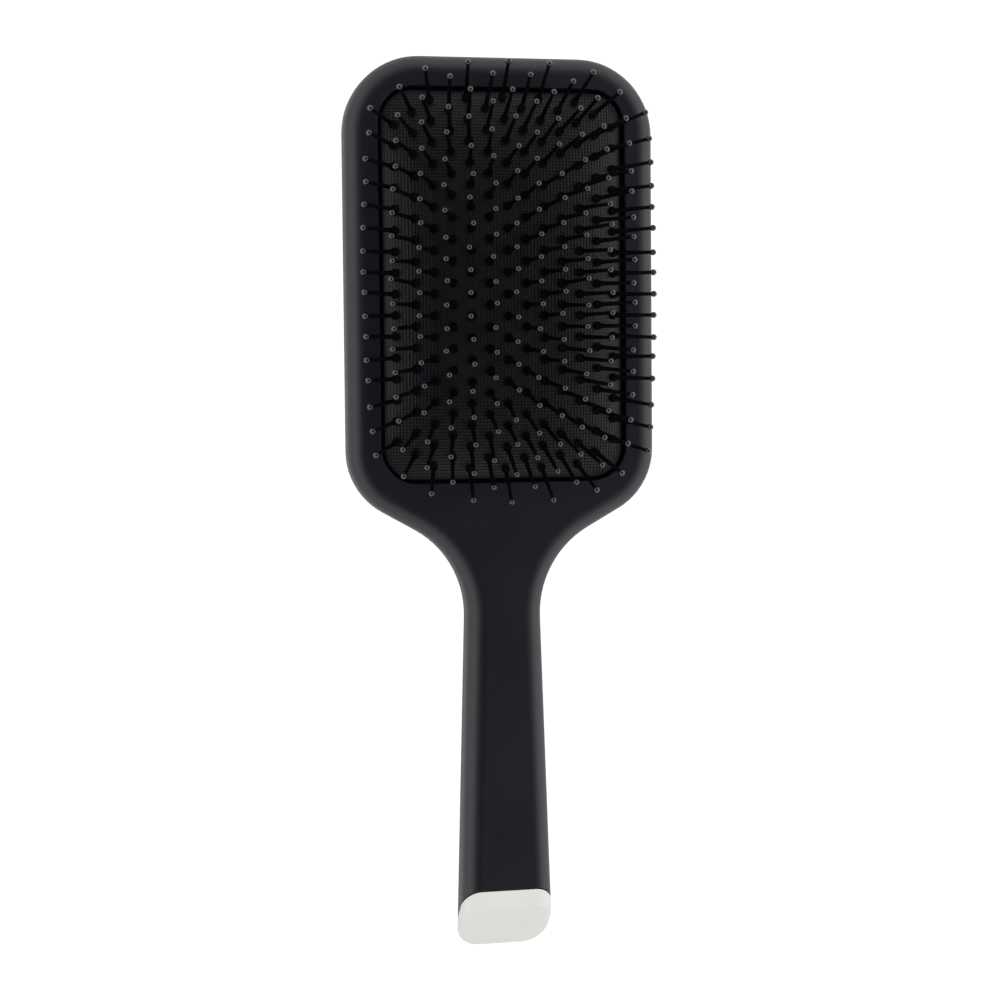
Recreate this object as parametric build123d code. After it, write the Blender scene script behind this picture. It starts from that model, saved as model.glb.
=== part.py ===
from build123d import *
from math import ceil, cos, radians, sqrt, tan
import os

# Cushioned paddle hair brush, lying on its back. Millimetres.
# +Z is up, the way the pins point. +Y runs from the handle to the head. X is across.
# The origin is at the bottom centre of the whole brush.

# Body
overall_length = 255.5
head_centre_y = 63.75         # middle of the head's straight sides
body_thickness = 16.0
head_width = 88.7
head_corner_radius = 21.5
shoulder_y = head_centre_y - 58.3    # where the head's side line meets the shoulder line
shoulder_radius = 20.0
shoulder_slope = 29.3         # degrees below the X axis
neck_radius = 28.0
neck_half_width = 10.2        # half the handle's width where the shoulder line meets it
handle_flare = 0.0305         # growth of the half width per millimetre down the handle
front_edge_radius = 5.2
back_edge_radius = 7.5
parting_z = 10.4              # where the two shells meet, on the widest line
wall = 2.5

# End of the handle: both cuts slant at 45 degrees, so a cut moves 1 mm in Y for each 1 mm in Z
cut_angle = 45.0
cap_length = 5.25             # along Y, between the seam and the end face
cap_edge_radius = 1.5
cap_seam_edge_radius = 0.2
cap_seam_gap = 0.15
cap_plug_length = 9.0
cap_plug_clearance = 0.08
cap_plug_root = 0.5           # how far the plug runs into the cap it grows from

# Cushion
pad_centre_y = 63.45
pad_half_x = 34.6
pad_half_y = 54.65
pad_corner_radius = 9.4
rim_recess = 1.6              # how far the pad's rim lies below the frame's face
pad_rim_z = body_thickness - rim_recess
crown_height = 7.2
crown_margin = 0.25           # how far the crown's own zero line lies outside the pad's edge
rubber_thickness = 1.5
skirt_thickness = 1.6
lip_width = 2.6
lip_thickness = 1.6
opening_gap = 0.7             # the dark groove between the pad and the frame
opening_edge_radius = 0.5

# Pins
column_pitch = 5.18
row_pitch = 6.10
outer_column = 6              # columns run from -6 to 6
rows_even_column = 18
rows_odd_column = 17
row_squeeze = 0.037           # the rows close up by this share at the outer columns
pin_field_shift_y = 0.5       # the pins sit this much nearer to the head's top than the pad's centre
lean_span_x = 34.0
lean_span_y = 55.0
lean_x_linear, lean_x_cubic, lean_x_fade = 0.61, 0.78, 0.59
lean_y_linear, lean_y_cubic, lean_y_fade = 0.13, 0.92, 0.53
pin_height = 14.0             # from the rubber to the end of the ball
ball_radius = 0.88
shaft_radius_top = 0.48
shaft_radius_bottom = 0.62
shoulder_cone_radius = 1.25
shoulder_low, shoulder_wide, shoulder_high = 0.15, 0.75, 1.35
pin_neck_radius = 0.52        # inside the rubber
hole_radius = 0.78
foot_radius = 1.3
foot_height = 0.8
foot_gap = 0.65               # between the rubber's underside and the foot
band_count = 10

# Inside
tray_bottom_z = 5.5
tray_floor = 1.7
tray_wall = 2.0
rib_count = 5
rib_thickness = 1.8
rib_pitch = 22.0
rib_length = 56.0
post_radius = 2.0
peg_radius = 1.1
peg_clearance = 0.06
peg_length = 4.0
peg_end_gap = 0.5
handle_peg_y = (-95, -60, -25)
shoulder_peg_x, shoulder_peg_y = 15, 1.25
top_peg_x, top_peg_inset = 20, 4.6
root = 0.2                    # how far ribs and posts run into the wall they grow from

# Helper shapes that reach past the whole brush
slant_block_size = 200
level_block_size = 400

# Worked out from the above
front_inner_z = body_thickness - wall
lip_top_z = front_inner_z
lip_half_x = pad_half_x + lip_width
lip_half_y = pad_half_y + lip_width
lip_corner_radius = pad_corner_radius + lip_width
end_apex_trim = cap_edge_radius * (1 / tan(radians(cut_angle / 2)) - 1)
end_cut_y = -overall_length / 2 - end_apex_trim    # where the end face would meet z = 0
seam_cut_y = end_cut_y + cap_length                # where the seam would meet z = 0


def body_outline(inset):
    """The brush's outline seen from the front, drawn in by inset, running on past the end cuts."""
    half_width = head_width / 2
    slope = tan(radians(shoulder_slope))
    neck_y = shoulder_y - (half_width - neck_half_width) * slope
    top_y = overall_length / 2
    end_y = end_cut_y - 20
    end_half_width = neck_half_width + (neck_y - end_y) * handle_flare
    right = [(half_width, top_y), (half_width, shoulder_y), (neck_half_width, neck_y)]
    radii = [head_corner_radius, shoulder_radius, neck_radius]
    corners = right + [(end_half_width, end_y)]
    mirrored = [(-x, y) for x, y in reversed(corners)]
    face = make_face(Polyline(*corners, *mirrored, close=True))
    for (x, y), radius in zip(right, radii):
        matching = [v for v in face.vertices() if abs(abs(v.X) - x) < 0.01 and abs(v.Y - y) < 0.01]
        face = fillet(matching, radius)
    if inset:
        face = offset(face, -inset)
    return Face(face.faces()[0].outer_wire())


def rounded_slab(inset, bottom, top, bottom_radius, top_radius):
    """The outline as a slab with rounded edges."""
    slab = extrude(Pos(0, 0, bottom) * body_outline(inset), top - bottom)
    levels = slab.edges().group_by(Axis.Z)
    long_end = slab.bounding_box().min.Y + 0.1
    low = [e for e in levels[0] if e.center().Y > long_end]
    slab = fillet(low, bottom_radius)
    high = [e for e in slab.edges().group_by(Axis.Z)[-1] if e.center().Y > long_end]
    return fillet(high, top_radius)


def rounded_box(half_x, half_y, radius, bottom, top):
    """An upright box with rounded corners, centred on the cushion."""
    plan = RectangleRounded(2 * half_x, 2 * half_y, radius)
    return Pos(0, pad_centre_y, bottom) * extrude(plan, top - bottom)


def beyond_cut(cut_y):
    """Everything on the handle-end side of a slanting cut that would meet z = 0 at cut_y."""
    align = (Align.CENTER, Align.MAX, Align.CENTER)
    block = Box(slant_block_size, slant_block_size, slant_block_size, align=align)
    return Pos(0, cut_y, 0) * Rot(-cut_angle, 0, 0) * block


def level_block(bottom, top):
    """A wide block between two levels."""
    align = (Align.CENTER, Align.CENTER, Align.MIN)
    return Pos(0, 0, bottom) * Box(level_block_size, level_block_size, top - bottom, align=align)


def upright(x, y, radius, bottom, top):
    """A round post between two levels."""
    align = (Align.CENTER, Align.CENTER, Align.MIN)
    return Pos(x, y, bottom) * Cylinder(radius, top - bottom, align=align)


def peg_places():
    """The spots where the two shells are pegged together."""
    handle = [(0, y) for y in handle_peg_y]
    shoulders = [(side * shoulder_peg_x, shoulder_peg_y) for side in (-1, 1)]
    top = [(side * top_peg_x, overall_length / 2 - top_peg_inset) for side in (-1, 1)]
    return handle + shoulders + top


def crown(x, y):
    """Height of the cushion's surface over its rim, at x, y from the cushion's centre."""
    u = x / (pad_half_x + crown_margin)
    w = y / (pad_half_y + crown_margin)
    return crown_height * (1 - u ** 4) * (1 - w ** 4)


def crown_face():
    """The crown as one exact patch: 1 - u^4 has Bernstein coefficients 0, 2, 0, 2, 0."""
    coefficients = (0, 2, 0, 2, 0)
    reach_x = pad_half_x + crown_margin
    reach_y = pad_half_y + crown_margin
    net = []
    for i, a in enumerate(coefficients):
        x = reach_x * (i / 2 - 1)
        row = [(x, reach_y * (j / 2 - 1), crown_height * a * b) for j, b in enumerate(coefficients)]
        net.append([Vector(*point) for point in row])
    return Pos(0, pad_centre_y, pad_rim_z) * Face.make_bezier_surface(net)


def pin_places():
    """Every pin: its place on the cushion, measured from the cushion's centre."""
    places = []
    for column in range(-outer_column, outer_column + 1):
        rows = rows_even_column if column % 2 == 0 else rows_odd_column
        skipped = 1 if abs(column) == outer_column else 0
        squeeze = 1 - row_squeeze * (column / outer_column) ** 2
        for row in range(skipped, rows - skipped):
            along = (row - (rows - 1) / 2) * row_pitch * squeeze
            places.append((column * column_pitch, along + pin_field_shift_y))
    return places


def pin_axis(x, y):
    """The way a pin points. Pins fan out towards the edges, and less so near the corners."""
    u = x / lean_span_x
    w = (y - pin_field_shift_y) / lean_span_y
    lean_x = (lean_x_linear * u + lean_x_cubic * u ** 3) * (1 - lean_x_fade * w * w)
    lean_y = (lean_y_linear * w + lean_y_cubic * w ** 3) * (1 - lean_y_fade * u * u)
    return Vector(lean_x, lean_y, 1).normalized()


def pin_plane(x, y):
    """The pin's own plane: origin where it leaves the rubber, Z along the pin."""
    origin = Vector(x, pad_centre_y + y, pad_rim_z + crown(x, y))
    return Plane(origin=origin, z_dir=pin_axis(x, y))


def rubber_along(x, y):
    """Length of the pin's stretch inside the rubber, which is measured straight down."""
    step = 0.01
    slope_x = (crown(x + step, y) - crown(x, y)) / step
    slope_y = (crown(x, y + step) - crown(x, y)) / step
    axis = pin_axis(x, y)
    return rubber_thickness / (axis.Z - slope_x * axis.X - slope_y * axis.Y)


def make_pin(x, y):
    """One pin: foot, neck through the rubber, cone shoulder, tapered shaft and ball."""
    foot_top = -rubber_along(x, y) - foot_gap
    ball_centre = pin_height - ball_radius
    ball_start = ball_centre - sqrt(ball_radius ** 2 - shaft_radius_top ** 2)
    side = Polyline(
        (0, foot_top - foot_height),
        (foot_radius, foot_top - foot_height),
        (foot_radius, foot_top),
        (pin_neck_radius, foot_top),
        (pin_neck_radius, shoulder_low),
        (shoulder_cone_radius, shoulder_wide),
        (shaft_radius_bottom, shoulder_high),
        (shaft_radius_top, ball_start),
    )
    ball = ThreePointArc((shaft_radius_top, ball_start), (ball_radius, ball_centre), (0, pin_height))
    section = make_face([*side.edges(), ball, Line((0, pin_height), (0, foot_top - foot_height))])
    return pin_plane(x, y) * revolve(Plane.XZ * section, Axis.Z)


def band_of(x, y):
    """Pins that sink alike share a band, counted from the rim (0) to the middle."""
    lowest = min(crown(*place) for place in pin_places())
    share = (crown(x, y) - lowest) / (crown_height - lowest)
    return min(max(ceil(share * band_count) - 1, 0), band_count - 1)


def make_front_shell(outer, inner):
    """The front half of the body, with the cushion's opening and the pegs that join the halves."""
    shell = outer & level_block(parting_z, body_thickness + 1)
    shell -= inner
    opening = rounded_box(
        pad_half_x + opening_gap,
        pad_half_y + opening_gap,
        pad_corner_radius + opening_gap,
        parting_z,
        body_thickness + 1,
    )
    shell -= opening
    rim = []
    for edge in shell.edges().group_by(Axis.Z)[-1]:
        across = abs(edge.center().X)
        along = abs(edge.center().Y - pad_centre_y)
        if across < pad_half_x + 2 * opening_gap and along < pad_half_y + 2 * opening_gap:
            rim.append(edge)
    shell = fillet(rim, opening_edge_radius)
    for x, y in peg_places():
        shell += upright(x, y, post_radius, parting_z, front_inner_z + root)
        shell += upright(x, y, peg_radius, parting_z - peg_length, parting_z + root)
    return shell - beyond_cut(seam_cut_y + cap_seam_gap / cos(radians(cut_angle)))


def make_back_shell(outer, inner):
    """The back half of the body, with the ribs that carry the tray and the pegs' sockets."""
    socket_bottom_z = parting_z - peg_length - peg_end_gap
    shell = outer & level_block(-1, parting_z)
    shell -= inner
    for number in range(rib_count):
        y = pad_centre_y + (number - (rib_count - 1) / 2) * rib_pitch
        align = (Align.CENTER, Align.CENTER, Align.MIN)
        rib = Box(rib_length, rib_thickness, tray_bottom_z - wall + root, align=align)
        shell += Pos(0, y, wall - root) * rib
    for x, y in peg_places():
        shell += upright(x, y, post_radius, wall - root, parting_z) & outer
        shell -= upright(x, y, peg_radius + peg_clearance, socket_bottom_z, parting_z)
    return shell - beyond_cut(seam_cut_y + cap_seam_gap / cos(radians(cut_angle)))


def make_end_cap(outer, inner_plug):
    """The pale cap between the two slanting cuts, with the plug that fits inside the handle."""
    cap = (outer & beyond_cut(seam_cut_y)) - beyond_cut(end_cut_y)
    end_direction = Axis((0, 0, 0), (0, -1, 1))
    cap = fillet(cap.faces().sort_by(end_direction)[-1].edges(), cap_edge_radius)
    cap = fillet(cap.faces().sort_by(end_direction)[0].edges(), cap_seam_edge_radius)
    plug = inner_plug - beyond_cut(seam_cut_y - cap_plug_root)
    plug &= beyond_cut(seam_cut_y + cap_plug_length)
    return cap + plug


def make_cushion_pad():
    """The rubber pad: crowned skin, skirt and lip, drilled for the pins."""
    reach_top = pad_rim_z + crown_height + 1
    skin = extrude(crown_face(), rubber_thickness, dir=(0, 0, -1))
    skin &= rounded_box(pad_half_x, pad_half_y, pad_corner_radius, 0, reach_top)
    lip_bottom_z = lip_top_z - lip_thickness
    skirt = rounded_box(pad_half_x, pad_half_y, pad_corner_radius, lip_bottom_z, pad_rim_z)
    lip = rounded_box(lip_half_x, lip_half_y, lip_corner_radius, lip_bottom_z, lip_top_z)
    hollow = rounded_box(
        pad_half_x - skirt_thickness,
        pad_half_y - skirt_thickness,
        pad_corner_radius - skirt_thickness,
        0,
        reach_top,
    )
    pad = skin + ((skirt + lip) - hollow)
    drill_length = 4 * rubber_thickness
    holes = []
    for x, y in pin_places():
        holes.append(pin_plane(x, y) * Cylinder(hole_radius, drill_length))
    return pad - holes


def make_cushion_tray():
    """The shallow tray that holds the pad's lip up against the front shell."""
    tray_top_z = lip_top_z - lip_thickness
    block = rounded_box(lip_half_x, lip_half_y, lip_corner_radius, tray_bottom_z, tray_top_z)
    pocket = rounded_box(
        lip_half_x - tray_wall,
        lip_half_y - tray_wall,
        lip_corner_radius - tray_wall,
        tray_bottom_z + tray_floor,
        body_thickness,
    )
    return block - pocket


def write(name, shapes):
    """One node, as one solid or a group of separate solids."""
    solids = [solid for shape in shapes for solid in shape.solids()]
    group = solids[0] if len(solids) == 1 else Compound(children=solids)
    group.label = name
    export_step(group, os.path.join("parts", name + ".step"))


def main():
    os.makedirs("parts", exist_ok=True)
    outer = rounded_slab(0, 0, body_thickness, back_edge_radius, front_edge_radius)
    inner = rounded_slab(wall, wall, front_inner_z, back_edge_radius - wall, front_edge_radius - wall)
    fit = wall + cap_plug_clearance
    plug_top = body_thickness - fit
    inner_plug = rounded_slab(fit, fit, plug_top, back_edge_radius - fit, front_edge_radius - fit)
    write("front_shell", [make_front_shell(outer, inner)])
    write("back_shell", [make_back_shell(outer, inner)])
    write("end_cap", [make_end_cap(outer, inner_plug)])
    write("cushion_tray", [make_cushion_tray()])
    write("cushion_pad", [make_cushion_pad()])
    bands = [[] for _ in range(band_count)]
    for x, y in pin_places():
        bands[band_of(x, y)].append(make_pin(x, y))
    for number, pins in enumerate(bands, start=1):
        write(f"pin_band_{number:02d}", pins)


main()
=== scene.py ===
import math

import bpy
import numpy as np
from mathutils import Matrix, Vector


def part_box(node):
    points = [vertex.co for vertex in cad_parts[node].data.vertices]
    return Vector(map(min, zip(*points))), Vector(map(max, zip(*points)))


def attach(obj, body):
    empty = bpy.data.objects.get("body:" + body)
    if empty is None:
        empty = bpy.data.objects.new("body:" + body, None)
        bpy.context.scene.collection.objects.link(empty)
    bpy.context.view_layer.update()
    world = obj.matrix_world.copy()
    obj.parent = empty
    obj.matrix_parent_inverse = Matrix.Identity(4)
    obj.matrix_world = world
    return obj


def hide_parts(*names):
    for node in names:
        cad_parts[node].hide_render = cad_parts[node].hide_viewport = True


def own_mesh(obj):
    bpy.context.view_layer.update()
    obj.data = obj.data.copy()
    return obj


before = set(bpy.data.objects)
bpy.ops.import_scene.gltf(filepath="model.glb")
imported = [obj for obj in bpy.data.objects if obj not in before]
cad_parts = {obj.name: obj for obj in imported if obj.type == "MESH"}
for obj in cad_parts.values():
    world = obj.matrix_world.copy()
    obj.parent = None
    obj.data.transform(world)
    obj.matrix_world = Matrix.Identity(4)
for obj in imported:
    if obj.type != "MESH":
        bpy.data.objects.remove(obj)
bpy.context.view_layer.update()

# A cushioned paddle brush. Shapes are worked out in millimetres, and mesh_object turns them into metres.
MM = 0.001

# The body and the cushion, placed from the frame
front_wall = 2.5
crown_height = 7.2
crown_margin = 0.25           # how far the crown's own zero line lies outside the pad's edge
lip_width = 2.6
corner_radius = 9.4
rubber_thickness = 1.5
pad_low, pad_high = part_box("cushion_pad")
_, shell_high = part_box("front_shell")
centre_y = (pad_low.y + pad_high.y) / 2 / MM
half_x = (pad_high.x - pad_low.x) / 2 / MM - lip_width
half_y = (pad_high.y - pad_low.y) / 2 / MM - lip_width
rim_z = pad_high.z / MM - crown_height
lip_top_z = shell_high.z / MM - front_wall
lip_bottom_z = pad_low.z / MM

# The pins, laid out as in the CAD part
column_pitch = 5.18
row_pitch = 6.10
outer_column = 6              # columns run from -6 to 6
rows_even_column = 18
rows_odd_column = 17
row_squeeze = 0.037           # the rows close up by this share at the outer columns
pin_field_shift_y = 0.5
lean_span_x = 34.0
lean_span_y = 55.0
lean_x_linear, lean_x_cubic, lean_x_fade = 0.61, 0.78, 0.59
lean_y_linear, lean_y_cubic, lean_y_fade = 0.13, 0.92, 0.53
band_count = 10
pin_height = 14.0             # from the rubber to the end of the bead
bead_radius = 0.88
bead_steps = 9
shaft_radius_top = 0.48
shaft_radius_bottom = 0.62
shaft_start = 2.5             # where the flared shoulder has become the shaft
shaft_stop = 0.7              # how far under the bead's centre the shaft's even taper ends
shaft_shares = (0.3, 0.6, 0.9)
bead_root = 0.12              # length of the straight stretch under the bead
# The flared shoulder: radius, and height over the rubber
shoulder_points = [(0.77, 0.22), (1.2, 0.36), (1.32, 0.48), (1.27, 0.64),
                   (1.1, 0.9), (0.9, 1.25), (0.74, 1.75)]
neck_radius = 0.52            # inside the rubber
neck_top = 0.1
foot_radius = 1.3
foot_height = 0.8
foot_gap = 0.65               # between the rubber's underside and the foot
foot_chamfer = 0.15
foot_fillet = 0.12
pin_sides = 16
lean_spread = 0.028           # each pin's own small lean
lean_limit = 0.06
lean_seed = 7

# The cushion's surface
grid_step = 0.158
weave_pitch_x = 0.97
weave_pitch_y = 0.94
weave_height = 0.2
weave_middle = 0.6            # the share of the weave's height that lies under the crown
weave_sharpness = 0.6
length_steps = 600            # for measuring along the crown
weave_starts, weave_full = 0.5, 0.9    # distance from the pad's edge
collar_radius = 1.4           # the smooth raised ring round each pin
collar_inner = 1.3            # inside this there is no weave at all
collar_height = 0.06
collar_blend = 0.3
collar_reach = 2.2            # nothing changes further than this from a pin
edge_roll = 0.45

# The cushion below its edge
skirt_thickness = 1.6
skirt_fillet = 0.3
skirt_fillet_middle = 0.18
lip_chamfer = 0.15
hollow_top = 1.2              # how far under the rim the hollow's wall ends
underside_clearance = 0.35    # keeps the underside clear of the weave's grooves
underside_rings = 24

# Stage and camera
floor_size = 6000
floor_level = -0.05
camera_yaw, camera_pitch, camera_roll = 0.210, 0.056, 0.009
camera_distance = 600.0
camera_pivot = Vector((0, 63.75, 15.6))
camera_aim = Vector((1.06, 60.62, 0))
sensor_width = 36
view_width = 281.69           # what the picture's width takes in at camera_distance
camera_reach = 20             # metres

# Studio: the tent's brightness against the height above the horizon (1 is overhead)
tent_stops = ((0.0, 1.0), (0.35, 0.95), (0.66, 0.75), (0.77, 0.3), (0.845, 0.022), (1.0, 0.012))
tent_axis = Vector((-0.05, 0.0, 1.0))
tent_strength = 1.35
tent_side_boost = 0.75
softbox_size = 0.7            # metres
softbox_height = 0.9          # metres
softbox_power = 6.0           # watts


# ---------------------------------------------------------------- shapes

def crown(x, y):
    """Height of the cushion over its rim, at x, y from its centre."""
    u = x / (half_x + crown_margin)
    w = y / (half_y + crown_margin)
    return crown_height * (1 - u ** 4) * (1 - w ** 4)


def pin_places():
    """Every pin's place on the cushion, measured from its centre."""
    places = []
    for column in range(-outer_column, outer_column + 1):
        rows = rows_even_column if column % 2 == 0 else rows_odd_column
        skipped = 1 if abs(column) == outer_column else 0
        squeeze = 1 - row_squeeze * (column / outer_column) ** 2
        for row in range(skipped, rows - skipped):
            along = (row - (rows - 1) / 2) * row_pitch * squeeze
            places.append((column * column_pitch, along + pin_field_shift_y))
    return places


def pin_axis(x, y):
    """The way a pin points. Pins fan out towards the edges, and less so near the corners."""
    u = x / lean_span_x
    w = (y - pin_field_shift_y) / lean_span_y
    lean_x = (lean_x_linear * u + lean_x_cubic * u ** 3) * (1 - lean_x_fade * w * w)
    lean_y = (lean_y_linear * w + lean_y_cubic * w ** 3) * (1 - lean_y_fade * u * u)
    return Vector((lean_x, lean_y, 1)).normalized()


def rubber_along(x, y):
    """Length of a pin's stretch inside the rubber, which is measured straight down."""
    step = 0.01
    slope_x = (crown(x + step, y) - crown(x, y)) / step
    slope_y = (crown(x, y + step) - crown(x, y)) / step
    axis = pin_axis(x, y)
    return rubber_thickness / (axis.z - slope_x * axis.x - slope_y * axis.y)


def band_of(x, y):
    """Which group a pin sinks with, counted from the rim (0) to the middle, as in the CAD part."""
    lowest = min(crown(*place) for place in pin_places())
    share = (crown(x, y) - lowest) / (crown_height - lowest)
    return min(max(math.ceil(share * band_count) - 1, 0), band_count - 1)


def smooth_step(value, low, high):
    """Rises smoothly from 0 at low to 1 at high."""
    t = np.clip((value - low) / (high - low), 0, 1)
    return t * t * (3 - 2 * t)


def mesh_object(name, vertices, faces, material):
    """A smooth mesh given in millimetres, as an object in metres."""
    mesh = bpy.data.meshes.new(name)
    mesh.from_pydata([tuple(c * MM for c in v) for v in vertices], [], faces)
    mesh.validate()
    mesh.update()
    for polygon in mesh.polygons:
        polygon.use_smooth = True
    mesh.materials.append(material)
    piece = bpy.data.objects.new(name, mesh)
    bpy.context.scene.collection.objects.link(piece)
    return piece


def join_rings(faces, first, second):
    """Faces between two rings with the same number of vertices."""
    count = len(first)
    for k in range(count):
        n = (k + 1) % count
        faces.append((first[n], first[k], second[k], second[n]))


# ---------------------------------------------------------------- materials

def new_material(name, color, roughness, **inputs):
    """A principled material with its constant values on the shader's own sockets."""
    material = bpy.data.materials.new(name)
    material.use_nodes = True
    shader = material.node_tree.nodes["Principled BSDF"]
    shader.inputs["Base Color"].default_value = (*color, 1)
    shader.inputs["Roughness"].default_value = roughness
    for key, value in inputs.items():
        shader.inputs[key.replace("_", " ")].default_value = value
    return material, material.node_tree, shader


def add_noise(tree, scale, detail):
    """A noise texture in object coordinates."""
    place = tree.nodes.new("ShaderNodeTexCoord")
    noise = tree.nodes.new("ShaderNodeTexNoise")
    noise.inputs["Scale"].default_value = scale
    noise.inputs["Detail"].default_value = detail
    tree.links.new(place.outputs["Object"], noise.inputs["Vector"])
    return noise.outputs["Fac"]


def ramp(tree, source, low, high):
    """Maps the middle of a noise to the colours from low to high."""
    node = tree.nodes.new("ShaderNodeValToRGB")
    for element, position, color in zip(node.color_ramp.elements, (0.3, 0.7), (low, high)):
        element.position = position
        element.color = (*color, 1)
    tree.links.new(source, node.inputs["Fac"])
    return node.outputs["Color"]


def add_mottle(tree, shader, scale, detail, colors, roughness):
    """Slow colour and roughness changes over a piece."""
    cloud = add_noise(tree, scale, detail)
    tree.links.new(ramp(tree, cloud, *colors), shader.inputs["Base Color"])
    low, high = roughness
    tree.links.new(ramp(tree, cloud, (low, low, low), (high, high, high)), shader.inputs["Roughness"])


def add_grain(tree, shader, scale, strength, distance):
    """A fine moulded grain, as a bump."""
    bump = tree.nodes.new("ShaderNodeBump")
    bump.inputs["Strength"].default_value = strength
    bump.inputs["Distance"].default_value = distance
    tree.links.new(add_noise(tree, scale, 2), bump.inputs["Height"])
    tree.links.new(bump.outputs["Normal"], shader.inputs["Normal"])


def soft_touch():
    """Near-black soft-touch coat, very slightly blue, with a fine grain."""
    material, tree, shader = new_material("soft_touch_black", (0.0013, 0.001, 0.0042), 0.44)
    colors = (0.0011, 0.0008, 0.0038), (0.0016, 0.0013, 0.0047)
    add_mottle(tree, shader, 45, 4, colors, (0.42, 0.46))
    add_grain(tree, shader, 5200, 0.12, 0.00004)
    return material


def end_cap_plastic():
    """Warm off-white matt plastic."""
    material, tree, shader = new_material("pale_cap_plastic", (0.52, 0.515, 0.496), 0.45)
    colors = (0.507, 0.502, 0.484), (0.533, 0.528, 0.508)
    add_mottle(tree, shader, 60, 4, colors, (0.5, 0.6))
    add_grain(tree, shader, 3000, 0.15, 0.00005)
    return material


def cushion_rubber():
    """Black rubber with a low sheen."""
    color = (0.0015, 0.0014, 0.003)
    material, tree, shader = new_material("cushion_rubber", color, 0.42, Specular_IOR_Level=0.26)
    colors = (0.0012, 0.0011, 0.0026), (0.002, 0.0019, 0.0036)
    add_mottle(tree, shader, 90, 4, colors, (0.36, 0.5))
    add_grain(tree, shader, 6000, 0.15, 0.00004)
    return material


def pin_nylon():
    """Matt black nylon of the shafts."""
    color = (0.001, 0.001, 0.0015)
    material, tree, shader = new_material("pin_nylon", color, 0.5, Specular_IOR_Level=0.06)
    colors = (0.0008, 0.0008, 0.0012), (0.0014, 0.0014, 0.002)
    add_mottle(tree, shader, 300, 3, colors, (0.45, 0.6))
    return material


def pin_tip_gloss():
    """Glossy black bead on the end of each pin."""
    color = (0.003, 0.003, 0.004)
    material, tree, shader = new_material("pin_tip_gloss", color, 0.08, Specular_IOR_Level=0.7)
    colors = (0.0025, 0.0025, 0.0035), (0.0035, 0.0035, 0.0045)
    add_mottle(tree, shader, 300, 3, colors, (0.05, 0.11))
    return material


def tray_plastic():
    """Plain black moulded plastic, inside the brush."""
    material, tree, shader = new_material("tray_plastic", (0.02, 0.02, 0.02), 0.5)
    add_grain(tree, shader, 2500, 0.2, 0.00005)
    return material


def mix_shaders(tree, share, first, second):
    """The second shader where share is 1, and the first where it is 0."""
    mix = tree.nodes.new("ShaderNodeMixShader")
    tree.links.new(share, mix.inputs["Fac"])
    tree.links.new(first, mix.inputs[1])
    tree.links.new(second, mix.inputs[2])
    return mix.outputs["Shader"]


def backdrop():
    """Pale backdrop: even white to the camera, and clear from below, so that the back shows."""
    emission = {"Emission_Color": (1, 1, 1, 1), "Emission_Strength": 0.06}
    material, tree, shader = new_material("backdrop_white", (0.8, 0.8, 0.8), 0.9, **emission)
    glow = tree.nodes.new("ShaderNodeEmission")
    glow.inputs["Strength"].default_value = 1.1
    clear = tree.nodes.new("ShaderNodeBsdfTransparent")
    path = tree.nodes.new("ShaderNodeLightPath")
    side = tree.nodes.new("ShaderNodeNewGeometry")
    white = mix_shaders(tree, path.outputs["Is Camera Ray"], shader.outputs["BSDF"], glow.outputs["Emission"])
    one_way = mix_shaders(tree, side.outputs["Backfacing"], white, clear.outputs["BSDF"])
    tree.links.new(one_way, tree.nodes["Material Output"].inputs["Surface"])
    return material


# ---------------------------------------------------------------- cushion

def surface_grid():
    """Points over the cushion in rows: a square grid whose corners are drawn in to rounded ones."""
    count_x = round(2 * half_x / grid_step)
    count_y = round(2 * half_y / grid_step)
    xs = np.linspace(-half_x, half_x, count_x + 1)
    ys = np.linspace(-half_y, half_y, count_y + 1)
    x, y = np.meshgrid(xs, ys, indexing="ij")
    corner_x = half_x - corner_radius
    corner_y = half_y - corner_radius
    u = np.clip((np.abs(x) - corner_x) / corner_radius, 0, 1)
    v = np.clip((np.abs(y) - corner_y) / corner_radius, 0, 1)
    in_corner = (u > 0) & (v > 0)
    round_x = np.sign(x) * (corner_x + corner_radius * u * np.sqrt(1 - v * v / 2))
    round_y = np.sign(y) * (corner_y + corner_radius * v * np.sqrt(1 - u * u / 2))
    return np.where(in_corner, round_x, x), np.where(in_corner, round_y, y)


def edge_distance(x, y):
    """How far a point is inside the cushion's rounded outline."""
    qx = np.abs(x) - (half_x - corner_radius)
    qy = np.abs(y) - (half_y - corner_radius)
    outside = np.hypot(np.maximum(qx, 0), np.maximum(qy, 0))
    return corner_radius - outside - np.minimum(np.maximum(qx, qy), 0)


def along_surface(distance, reach):
    """Length over the crown from its middle line, for a distance seen from above."""
    steps = np.linspace(0, reach, length_steps)
    slope = 4 * crown_height * steps ** 3 / reach ** 4
    length = np.concatenate(([0], np.cumsum(np.hypot(1, slope[1:]) * np.diff(steps))))
    return np.sign(distance) * np.interp(np.abs(distance), steps, length)


def weave_at(x, y):
    """The weave's relief, from 0 in its grooves to 1 on its bumps."""
    ribs_x = np.abs(np.cos(math.pi * along_surface(x, half_x + crown_margin) / weave_pitch_x))
    ribs_y = np.abs(np.cos(math.pi * along_surface(y, half_y + crown_margin) / weave_pitch_y))
    return (ribs_x * ribs_y) ** weave_sharpness


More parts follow.
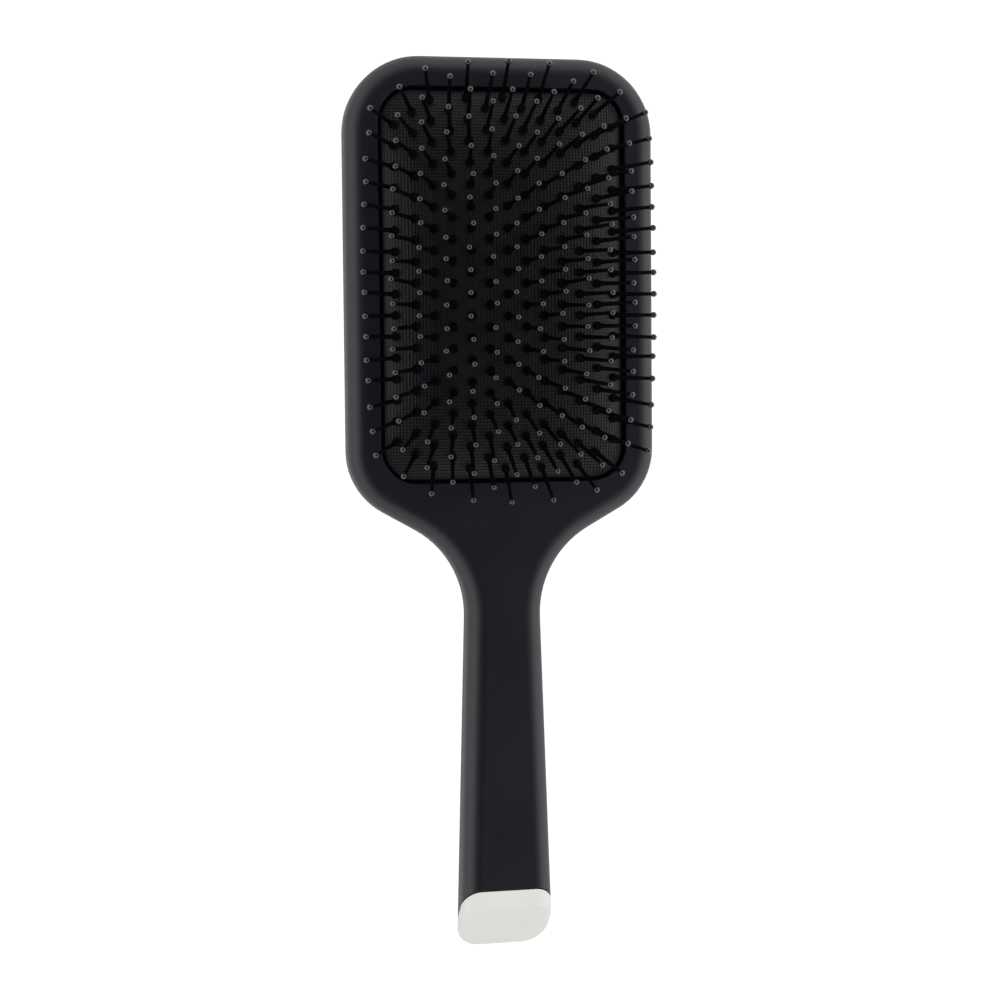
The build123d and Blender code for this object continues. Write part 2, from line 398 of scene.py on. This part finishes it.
def surface_height(x, y):
    """The crown with its weave, a smooth collar round each pin, and a rolled edge."""
    inside = edge_distance(x, y)
    cover = smooth_step(inside, weave_starts, weave_full)
    collars = np.zeros_like(x)
    for px, py in pin_places():
        near = (np.abs(x - px) < collar_reach) & (np.abs(y - py) < collar_reach)
        r = np.hypot(x[near] - px, y[near] - py)
        cover[near] *= smooth_step(r, collar_inner, collar_radius + collar_blend)
        fade = smooth_step(r, collar_radius - collar_blend, collar_radius + collar_blend)
        collars[near] += collar_height * (1 - fade)
    t = np.clip(inside / edge_roll, 0, 1)
    roll = edge_roll * (1 - np.sqrt(np.clip(1 - (1 - t) ** 2, 0, 1)))
    return crown(x, y) + weave_height * (weave_at(x, y) - weave_middle) * cover + collars - roll


def top_surface():
    """Vertices and faces of the woven top, and the ring of vertices round its edge."""
    x, y = surface_grid()
    z = rim_z + surface_height(x, y)
    nx, ny = x.shape
    vertices = list(zip(x.ravel(), (y + centre_y).ravel(), z.ravel()))
    faces = []
    for i in range(nx - 1):
        for j in range(ny - 1):
            a = i * ny + j
            faces.append((a, a + ny, a + ny + 1, a + 1))
    border = [i * ny for i in range(nx)]
    border += [(nx - 1) * ny + j for j in range(1, ny)]
    border += [i * ny + ny - 1 for i in range(nx - 2, -1, -1)]
    border += [j for j in range(ny - 2, 0, -1)]
    return vertices, faces, border


def add_border_ring(vertices, border, out, level):
    """A copy of the border, moved out and set to a level."""
    start = len(vertices)
    for index in border:
        bx, by, _ = vertices[index]
        by -= centre_y
        dx = max(abs(bx) - (half_x - corner_radius), 0) * math.copysign(1, bx)
        dy = max(abs(by) - (half_y - corner_radius), 0) * math.copysign(1, by)
        length = math.hypot(dx, dy)
        vertices.append((bx + out * dx / length, by + out * dy / length + centre_y, level))
    return list(range(start, start + len(border)))


def add_skirt(vertices, faces, border):
    """The skirt, the lip and the hollow's wall. Returns the ring at the top of the hollow."""
    rings = [(0.0, lip_top_z + skirt_fillet),
             (skirt_fillet_middle, lip_top_z + skirt_fillet_middle),
             (skirt_fillet, lip_top_z),
             (lip_width - lip_chamfer, lip_top_z),
             (lip_width, lip_top_z - lip_chamfer),
             (lip_width, lip_bottom_z + lip_chamfer),
             (lip_width - lip_chamfer, lip_bottom_z),
             (-skirt_thickness, lip_bottom_z),
             (-skirt_thickness, rim_z - hollow_top)]
    previous = border
    for out, level in rings:
        current = add_border_ring(vertices, border, out, level)
        join_rings(faces, previous, current)
        previous = current
    return previous


def add_underside(vertices, faces, edge):
    """The underside: rings that follow the crown, drawn in to a point at the middle."""
    drop = rubber_thickness + underside_clearance
    base = [vertices[i] for i in edge]
    previous = edge
    for share in np.linspace(1, 0, underside_rings)[1:-1]:
        start = len(vertices)
        for bx, by, _ in base:
            x = bx * share
            y = (by - centre_y) * share
            vertices.append((x, y + centre_y, rim_z + float(crown(x, y)) - drop))
        current = list(range(start, start + len(base)))
        join_rings(faces, previous, current)
        previous = current
    middle = len(vertices)
    vertices.append((0, centre_y, rim_z + crown_height - drop))
    for k in range(len(previous)):
        n = (k + 1) % len(previous)
        faces.append((previous[n], previous[k], middle))


def make_cushion(material):
    """The rubber pad as one closed mesh."""
    vertices, faces, border = top_surface()
    hollow_edge = add_skirt(vertices, faces, border)
    add_underside(vertices, faces, hollow_edge)
    cushion = mesh_object("cushion_pad_rubber", vertices, faces, material)
    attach(cushion, "handle_body")
    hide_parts("cushion_pad")
    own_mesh(cushion)


# ---------------------------------------------------------------- pins

def pin_profile(x, y):
    """Radius and height along a pin, from the foot's underside to the top of the bead."""
    foot_top = -rubber_along(x, y) - foot_gap
    foot_bottom = foot_top - foot_height
    bead_centre = pin_height - bead_radius
    foot = [(0.0, foot_bottom),
            (foot_radius - foot_chamfer, foot_bottom),
            (foot_radius, foot_bottom + foot_chamfer),
            (foot_radius, foot_top - foot_fillet),
            (foot_radius - foot_fillet, foot_top)]
    neck = [(neck_radius + foot_fillet, foot_top),
            (neck_radius, foot_top + foot_fillet),
            (neck_radius, neck_top)]
    shaft = [(shaft_radius_bottom, shaft_start)]
    for share in shaft_shares:
        height = shaft_start + share * (bead_centre - shaft_start - shaft_stop)
        shaft.append((shaft_radius_bottom + share * (shaft_radius_top - shaft_radius_bottom), height))
    start = math.asin(shaft_radius_top / bead_radius)
    shaft.append((shaft_radius_top, bead_centre - bead_radius * math.cos(start) - bead_root))
    bead = []
    for k in range(bead_steps):
        angle = start + (math.pi - start) * k / bead_steps
        bead.append((bead_radius * math.sin(angle), bead_centre - bead_radius * math.cos(angle)))
    return foot + neck + shoulder_points + shaft + bead + [(0.0, pin_height)]


def add_pin_ring(vertices, origin, turn, radius, height):
    """One ring of a pin's vertices, or a single point where the radius is nothing."""
    start = len(vertices)
    if radius == 0.0:
        vertices.append(tuple(origin + turn @ Vector((0, 0, height))))
        return [start]
    for k in range(pin_sides):
        angle = 2 * math.pi * k / pin_sides
        point = Vector((radius * math.cos(angle), radius * math.sin(angle), height))
        vertices.append(tuple(origin + turn @ point))
    return list(range(start, start + pin_sides))


def add_pin(x, y, lean, vertices, faces, on_bead):
    """Adds one pin, turned by its own small lean, and notes which of its faces are on the bead."""
    axis = (pin_axis(x, y) + Vector((lean[0], lean[1], 0))).normalized()
    turn = axis.to_track_quat("Z", "Y").to_matrix()
    origin = Vector((x, centre_y + y, rim_z + crown(x, y)))
    profile = pin_profile(x, y)
    rings = [add_pin_ring(vertices, origin, turn, radius, height) for radius, height in profile]
    for low, high, (_, height) in zip(rings, rings[1:], profile):
        for k in range(pin_sides):
            n = (k + 1) % pin_sides
            on_bead.append(height > pin_height - 2 * bead_radius)
            if len(low) == 1:
                faces.append((low[0], high[n], high[k]))
            elif len(high) == 1:
                faces.append((low[k], low[n], high[0]))
            else:
                faces.append((low[k], low[n], high[n], high[k]))


def make_pins(shaft_material, bead_material):
    """One piece for each group of pins that sinks together."""
    random = np.random.default_rng(lean_seed)
    bands = [([], [], []) for _ in range(band_count)]
    for x, y in pin_places():
        lean = np.clip(random.normal(0, lean_spread, 2), -lean_limit, lean_limit)
        add_pin(x, y, lean, *bands[band_of(x, y)])
    for number, (vertices, faces, on_bead) in enumerate(bands, start=1):
        piece = mesh_object(f"pins_{number:02d}_nylon", vertices, faces, shaft_material)
        piece.data.materials.append(bead_material)
        for polygon, is_bead in zip(piece.data.polygons, on_bead):
            polygon.material_index = int(is_bead)
        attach(piece, f"pins_{number:02d}")
        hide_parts(f"pin_band_{number:02d}")


# ---------------------------------------------------------------- stage, camera and lights

def make_stage():
    """A plain pale floor, a hair under the brush."""
    s = floor_size
    corners = [(-s, -s, floor_level), (s, -s, floor_level), (s, s, floor_level), (-s, s, floor_level)]
    mesh_object("backdrop_floor", corners, [(0, 1, 2, 3)], backdrop())


def make_camera():
    """The viewing angle: from above, a little from the left and from the handle's end."""
    across = Matrix.Rotation(camera_yaw, 3, "Y")
    along = Matrix.Rotation(camera_pitch, 3, "X")
    spin = Matrix.Rotation(camera_roll, 3, "Z")
    back = (spin @ along @ across).transposed()
    data = bpy.data.cameras.new("camera")
    data.sensor_width = sensor_width
    data.lens = sensor_width * camera_distance / view_width
    data.clip_end = camera_reach
    camera = bpy.data.objects.new("camera", data)
    bpy.context.scene.collection.objects.link(camera)
    place = back @ (Vector((0, 0, camera_distance)) - camera_aim) + camera_pivot
    camera.matrix_world = Matrix.Translation(place * MM) @ back.to_4x4()
    bpy.context.scene.camera = camera


def tent_shade(tree, direction):
    """The tent's brightness: dark overhead and bright from there down to the horizon."""
    upward = tree.nodes.new("ShaderNodeVectorMath")
    upward.operation = "DOT_PRODUCT"
    upward.inputs[1].default_value = tent_axis.normalized()
    tree.links.new(direction, upward.inputs[0])
    shade = tree.nodes.new("ShaderNodeValToRGB")
    while len(shade.color_ramp.elements) < len(tent_stops):
        shade.color_ramp.elements.new(0.5)
    for element, (position, value) in zip(shade.color_ramp.elements, tent_stops):
        element.position = position
        element.color = (value, value, value, 1)
    tree.links.new(upward.outputs["Value"], shade.inputs["Fac"])
    return shade.outputs["Color"]


def tent_level(tree, direction):
    """The tent's strength, which grows with the square of X towards both sides."""
    split = tree.nodes.new("ShaderNodeSeparateXYZ")
    tree.links.new(direction, split.inputs["Vector"])
    square = tree.nodes.new("ShaderNodeMath")
    square.operation = "POWER"
    square.inputs[1].default_value = 2.0
    tree.links.new(split.outputs["X"], square.inputs[0])
    boost = tree.nodes.new("ShaderNodeMath")
    boost.operation = "MULTIPLY_ADD"
    boost.inputs[1].default_value = tent_side_boost
    boost.inputs[2].default_value = tent_strength
    tree.links.new(square.outputs["Value"], boost.inputs[0])
    return boost.outputs["Value"]


def make_tent():
    """The world: the studio tent for all light, and plain white where the camera looks past the floor."""
    world = bpy.data.worlds.new("world")
    bpy.context.scene.world = world
    world.use_nodes = True
    tree = world.node_tree
    direction = tree.nodes.new("ShaderNodeTexCoord").outputs["Generated"]
    tent = tree.nodes["Background"]
    tree.links.new(tent_shade(tree, direction), tent.inputs["Color"])
    tree.links.new(tent_level(tree, direction), tent.inputs["Strength"])
    plain = tree.nodes.new("ShaderNodeBackground")
    plain.inputs["Color"].default_value = (1, 1, 1, 1)
    path = tree.nodes.new("ShaderNodeLightPath")
    seen = path.outputs["Is Camera Ray"]
    surface = mix_shaders(tree, seen, tent.outputs["Background"], plain.outputs["Background"])
    tree.links.new(surface, tree.nodes["World Output"].inputs["Surface"])


def make_softbox():
    """Soft light from straight above, for the pale cap. It doesn't show in reflections."""
    light = bpy.data.lights.new("overhead_softbox", "AREA")
    light.shape = "SQUARE"
    light.size = softbox_size
    light.energy = softbox_power
    softbox = bpy.data.objects.new("overhead_softbox", light)
    softbox.location = (0, 0, softbox_height)
    softbox.visible_camera = False
    softbox.visible_glossy = False
    bpy.context.scene.collection.objects.link(softbox)


def finish_shells():
    """Gives the CAD's own shells, cap and tray their materials."""
    coat = soft_touch()
    materials = {"front_shell": coat, "back_shell": coat,
                 "end_cap": end_cap_plastic(), "cushion_tray": tray_plastic()}
    for node, material in materials.items():
        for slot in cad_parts[node].material_slots:
            slot.material = material


def main():
    finish_shells()
    make_cushion(cushion_rubber())
    make_pins(pin_nylon(), pin_tip_gloss())
    make_stage()
    make_camera()
    make_tent()
    make_softbox()
    bpy.context.scene.view_settings.view_transform = "Standard"


main()
